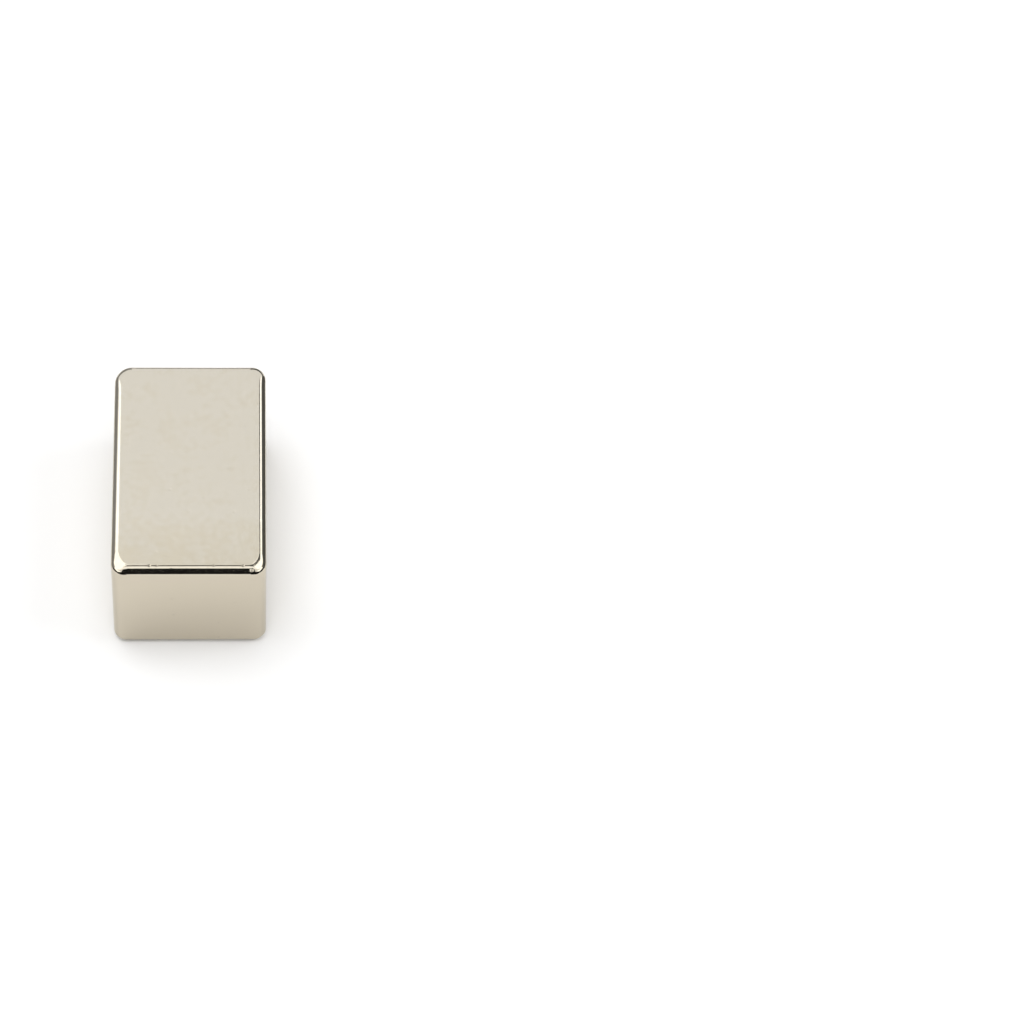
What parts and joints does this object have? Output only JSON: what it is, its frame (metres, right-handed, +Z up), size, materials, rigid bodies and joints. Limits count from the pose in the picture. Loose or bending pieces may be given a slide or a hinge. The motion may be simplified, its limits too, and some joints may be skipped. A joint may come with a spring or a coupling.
{
  "type": "block magnet",
  "caption": "Rectangular block magnet with rounded edges and a bright nickel finish, which holds to or attracts iron and steel through its broad faces.",
  "frame": {"origin": "middle of the underside", "axes": "+Z up through the block's height, along the magnetised axis; +Y along the length; +X across the width"},
  "size_m": [0.006, 0.01, 0.005],
  "materials": {
    "nickel_plating": "polished"
  },
  "bodies": {
    "root": {"block_magnet": "nickel_plating"}
  },
  "joints": []
}
